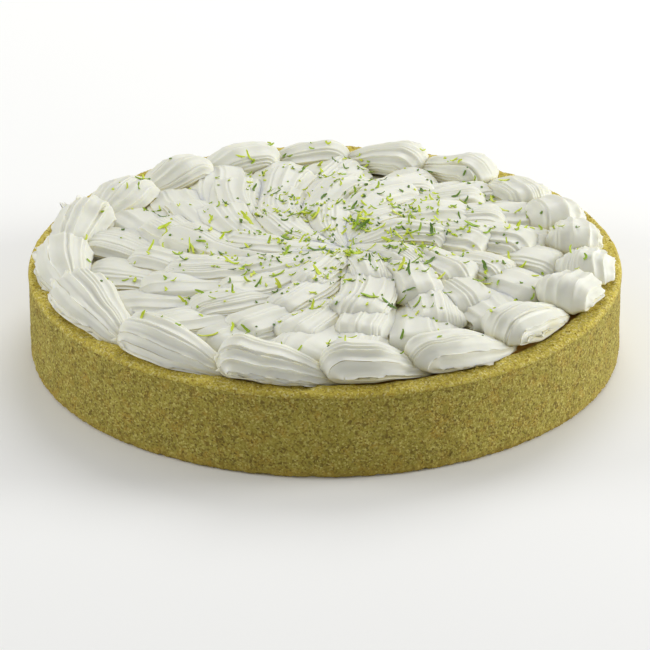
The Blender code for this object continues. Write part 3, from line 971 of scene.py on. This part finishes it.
def scatter_tree():
    """Node tree that drops points from a sheet onto a target and stands a piece on each of them."""
    found = bpy.data.node_groups.get(SCATTER_TREE)
    if found is not None:
        return found
    tree = bpy.data.node_groups.new(SCATTER_TREE, "GeometryNodeTree")
    for name, kind in SCATTER_SOCKETS:
        tree.interface.new_socket(name, in_out="INPUT", socket_type=f"NodeSocket{kind}")
    tree.interface.new_socket("Geometry", in_out="OUTPUT", socket_type="NodeSocketGeometry")
    given = tree.nodes.new("NodeGroupInput").outputs
    result = tree.nodes.new("NodeGroupOutput").inputs[0]

    def node(kind, inputs=None, **settings):
        return add_node(tree, kind, inputs, **settings).outputs

    def calculate(operation, *values):
        return node("ShaderNodeMath", dict(enumerate(values)), operation=operation)[0]

    place = node("GeometryNodeInputPosition")[0]
    offset = node("ShaderNodeVectorMath", {0: place, 1: given["Middle"]}, operation="SUBTRACT")[0]
    flat = node("ShaderNodeVectorMath", {0: offset, 1: (1, 1, 0)}, operation="MULTIPLY")[0]
    away = node("ShaderNodeVectorMath", {0: flat}, operation="LENGTH")["Value"]
    share = calculate("DIVIDE", away, given["Spread"])
    falling = calculate("EXPONENT", calculate("MULTIPLY", calculate("POWER", share, 2.0), -1.0))
    cloud = soft_noise(tree, place, 11 * MM, 1.0)
    clump = calculate("MULTIPLY", calculate("SUBTRACT", cloud, 0.5), given["Clump"])
    crowd = calculate("MAXIMUM", calculate("ADD", clump, 1.0), 0.15)
    share_here = calculate("MULTIPLY", calculate("ADD", falling, given["Evenness"]), crowd)
    density = calculate("MULTIPLY", share_here, given["Density"])
    points = node(
        "GeometryNodeDistributePointsOnFaces",
        {"Mesh": given["Geometry"], "Density": density, "Seed": given["Seed"]})["Points"]
    target = node("GeometryNodeCollectionInfo", {"Collection": given["Target"]})[0]
    solid = node("GeometryNodeRealizeInstances", {"Geometry": target})[0]
    hit = node(
        "GeometryNodeRaycast", {"Target Geometry": solid, "Ray Direction": (0, 0, -1), "Ray Length": 0.1})
    landed = node(
        "GeometryNodeSeparateGeometry", {"Geometry": points, "Selection": hit["Is Hit"]})["Selection"]
    kept = node(
        "GeometryNodeStoreNamedAttribute", {"Geometry": landed, "Name": "lie", "Value": hit["Hit Normal"]},
        data_type="FLOAT_VECTOR", domain="POINT")[0]
    dropped = node("GeometryNodeSetPosition", {"Geometry": kept, "Position": hit["Hit Position"]})[0]
    lie = node("GeometryNodeInputNamedAttribute", {"Name": "lie"}, data_type="FLOAT_VECTOR")[0]
    upright = node("FunctionNodeAlignRotationToVector", {"Vector": lie}, axis="Z")[0]
    spin = node(
        "FunctionNodeRandomValue", {"Min": (0, 0, 0), "Max": (0.5, 0.5, 6.28), "Seed": given["Seed"]},
        data_type="FLOAT_VECTOR")[0]
    turn = node("FunctionNodeEulerToRotation", {"Euler": spin})[0]
    rotation = node(
        "FunctionNodeRotateRotation", {"Rotation": upright, "Rotate By": turn}, rotation_space="LOCAL")[0]
    size = node(
        "FunctionNodeRandomValue", {2: given["Least size"], 3: given["Most size"], "Seed": given["Seed"]},
        data_type="FLOAT")[1]
    pieces = node(
        "GeometryNodeCollectionInfo",
        {"Collection": given["Pieces"], "Separate Children": True, "Reset Children": True})[0]
    stood = node(
        "GeometryNodeInstanceOnPoints",
        {"Points": dropped, "Instance": pieces, "Pick Instance": True, "Rotation": rotation,
         "Scale": size})[0]
    joined = node("GeometryNodeRealizeInstances", {"Geometry": stood})[0]
    coated = node("GeometryNodeSetMaterial", {"Geometry": joined, "Material": given["Material"]})[0]
    tree.links.new(coated, result)
    return tree


SHEET_HEIGHT = 80 * MM
SHEET_COLUMNS = 96
SHEET_ROWS = 24


def sheet_mesh(inner, outer, height):
    """A flat ring of small faces above the pie, that the points start from."""
    turn = np.linspace(0.0, 2 * math.pi, SHEET_COLUMNS, endpoint=False)
    radii = np.linspace(max(inner, 0.5 * MM), outer, SHEET_ROWS)
    flat = radii[:, None, None] * np.stack([np.cos(turn), np.sin(turn)], axis=-1)[None]
    level = np.full((*flat.shape[:2], 1), height)
    return grid_mesh("sheet", np.concatenate([flat, level], axis=-1), wrap=True)


def scatter(name, tree, sheet, **values):
    """Runs the tree over a sheet and returns the plain mesh that it makes."""
    obj = bpy.data.objects.new(name, sheet)
    bpy.context.scene.collection.objects.link(obj)
    modifier = obj.modifiers.new("scatter", "NODES")
    modifier.node_group = tree
    for item in tree.interface.items_tree:
        key = item.name.lower().replace(" ", "_")
        if item.in_out == "INPUT" and key in values:
            modifier[item.identifier] = values[key]
    bpy.context.view_layer.update()
    found = obj.evaluated_get(bpy.context.evaluated_depsgraph_get())
    mesh = bpy.data.meshes.new_from_object(found)
    bpy.data.objects.remove(obj)
    if not mesh.polygons:
        raise RuntimeError(f"{name}: nothing was scattered")
    mesh.name = name
    return mesh


CREAM_PIECES = ("cream_border", *RINGS, "cream_bed")


class PIE_OT_zest(bpy.types.Operator):
    """Scatters grated lime peel over the cream, most of it in the middle"""

    bl_idname = "lemon_pie.zest"
    bl_label = "Lime zest"

    def execute(self, context):
        props = context.scene.pie_zest
        draw = random.Random(props.seed)
        shreds = []
        for kind, count, lengths, widest in (
            ("shred", SHRED_COUNT, SHRED_LENGTH, 1.3),
            ("speck", SPECK_COUNT, SPECK_LENGTH, 1.2),
        ):
            for k in range(count):
                length = draw.uniform(*lengths) * MM
                mesh = shred_mesh(f"{kind}_{k}", length, props.width * draw.uniform(0.7, widest), draw)
                shreds.append(bpy.data.objects.new(f"{kind}_{k}", mesh))
        pieces = hidden_collection("zest_shapes", shreds)
        target = hidden_collection("zest_target", [bpy.data.objects[name] for name in CREAM_PIECES])
        tree = scatter_tree()
        kinds = (
            ("zest_bright", props.bright, linear("#D0DA48"), 41000.0),
            ("zest_middle", linear("#8CB01C"), linear("#A9C022"), 34000.0),
            ("zest_deep", props.deep, linear("#6E9012"), 20000.0),
        )
        for number, (name, colour, other, density) in enumerate(kinds):
            material = grated_peel(f"grated_peel_{name[5:]}", colour, other)
            mesh = scatter(
                name, tree, sheet_mesh(0.0, ZEST_REACH, SHEET_HEIGHT), target=target, pieces=pieces,
                density=density, middle=ZEST_MIDDLE, spread=props.spread, evenness=0.05, clump=7.0,
                least_size=0.75, most_size=1.2, seed=props.seed + number, material=material)
            finish_piece(piece_object(name, mesh), material, "whipped_cream", "piped_cream")
        return {"FINISHED"}


class PIE_OT_crumbs(bpy.types.Operator):
    """Scatters loose crumbs on the rim of the crust"""

    bl_idname = "lemon_pie.crumbs"
    bl_label = "Loose crumbs"

    def execute(self, context):
        props = context.scene.pie_crust
        draw = random.Random(3)
        shapes = []
        for k in range(CRUMB_COUNT):
            mesh = crumb_mesh(f"crumb_{k}", draw.uniform(*CRUMB_SIZE) * MM, draw)
            shapes.append(bpy.data.objects.new(f"crumb_{k}", mesh))
        pieces = hidden_collection("crumb_shapes", shapes)
        target = hidden_collection("crumb_target", [bpy.data.objects["shortcrust_shell"]])
        material = baked_shortcrust(props)
        mesh = scatter(
            "loose_crumbs", scatter_tree(), sheet_mesh(*CRUMB_BAND, SHEET_HEIGHT), target=target,
            pieces=pieces, density=60000.0, middle=(0.0, 0.0, 0.0), spread=1.0, evenness=0.0, clump=0.0,
            least_size=0.5, most_size=1.3, seed=CRUMB_SEED, material=material)
        finish_piece(piece_object("loose_crumbs", mesh), material, "shortcrust", "crust")
        return {"FINISHED"}


# Stage


# Softboxes: name, place, width in metres and power in watts. Most of the light comes from the right.
SOFTBOXES = (
    ("back_softbox", (0.25, 1.0, 1.1), 0.9, 8.6),
    ("right_softbox", (1.3, 0.1, 0.38), 0.6, 12.0),
    ("left_softbox", (-1.3, 0.0, 0.5), 0.6, 6.8),
)
SKY_STRENGTH = 0.5
FLOOR_SIZE = 12.0
FLOOR_GRAIN = 0.25
# How far under the crust's middle the camera aims, across its line of sight.
AIM_BELOW = 9.58 * MM


def aim(obj, target):
    """Turns a light or camera towards a point."""
    obj.rotation_mode = "QUATERNION"
    obj.rotation_quaternion = (target - obj.location).to_track_quat("-Z", "Y")


def area_light(name, place, size, power):
    """A round softbox that faces the pie."""
    light = bpy.data.lights.new(name, "AREA")
    light.shape = "DISK"
    light.size = size
    light.energy = power
    obj = bpy.data.objects.new(name, light)
    bpy.context.scene.collection.objects.link(obj)
    obj.location = place
    aim(obj, Vector((0, 0, 0.03)))


class PIE_OT_stage(bpy.types.Operator):
    """Sets a pale floor, soft studio light and the camera"""

    bl_idname = "lemon_pie.stage"
    bl_label = "Stage"

    def execute(self, context):
        scene = context.scene
        props = scene.pie_stage
        bpy.ops.mesh.primitive_plane_add(size=FLOOR_SIZE)
        floor = context.active_object
        floor.name = "studio_floor"
        material, tree, shader, place = new_material("matt_studio_floor")
        grain = soft_noise(tree, place, FLOOR_GRAIN, 2.0)
        shade = mix_colour(tree, grain, rgba(props.floor), rgba("#F1F1EF"))
        fill(tree, shader, {"Base Color": shade, "Roughness": 0.9})
        floor.data.materials.append(material)

        world = bpy.data.worlds.new("studio")
        world.use_nodes = True
        back = world.node_tree.nodes["Background"]
        fill(world.node_tree, back, {"Color": (1.0, 1.0, 1.0, 1.0), "Strength": SKY_STRENGTH})
        scene.world = world
        for softbox in SOFTBOXES:
            area_light(*softbox)

        scene.view_settings.view_transform = "Standard"
        middle = Vector((0, 0, CRUST_HEIGHT / 2))
        away = Vector((0, -math.cos(props.elevation), math.sin(props.elevation)))
        below = Vector((0, -math.sin(props.elevation), -math.cos(props.elevation))) * AIM_BELOW
        camera = bpy.data.objects.new("camera", bpy.data.cameras.new("camera"))
        scene.collection.objects.link(camera)
        camera.data.lens = props.lens
        camera.data.sensor_width = 36.0
        camera.data.clip_start = 0.05
        camera.data.clip_end = 30.0
        camera.location = middle + away * props.distance
        aim(camera, middle + below)
        scene.camera = camera
        return {"FINISHED"}


OPERATORS = (PIE_OT_crust, PIE_OT_filling, PIE_OT_cream, PIE_OT_zest, PIE_OT_crumbs, PIE_OT_stage)


class PIE_PT_panel(bpy.types.Panel):
    """Lists the steps of the pie in the sidebar"""

    bl_idname = "PIE_PT_panel"
    bl_label = "Lemon Pie"
    bl_space_type = "VIEW_3D"
    bl_region_type = "UI"
    bl_category = "Pie"

    def draw(self, context):
        for operator in OPERATORS:
            self.layout.operator(operator.bl_idname)
        for name, group in PROPERTIES:
            box = self.layout.box()
            for key in group.__annotations__:
                box.prop(getattr(context.scene, name), key)


def register():
    """Makes the classes and their settings known to Blender."""
    for name, group in PROPERTIES:
        bpy.utils.register_class(group)
        setattr(bpy.types.Scene, name, PointerProperty(type=group))
    for kind in (*OPERATORS, PIE_PT_panel):
        bpy.utils.register_class(kind)


def unregister():
    """Takes back what register did."""
    for kind in reversed((*OPERATORS, PIE_PT_panel)):
        bpy.utils.unregister_class(kind)
    for name, group in reversed(PROPERTIES):
        delattr(bpy.types.Scene, name)
        bpy.utils.unregister_class(group)


def main():
    """Makes the whole pie and its stage."""
    register()
    bpy.ops.lemon_pie.crust()
    bpy.ops.lemon_pie.filling()
    bpy.ops.lemon_pie.cream()
    bpy.ops.lemon_pie.zest()
    bpy.ops.lemon_pie.crumbs()
    bpy.ops.lemon_pie.stage()


if __name__ == "__main__":
    main()
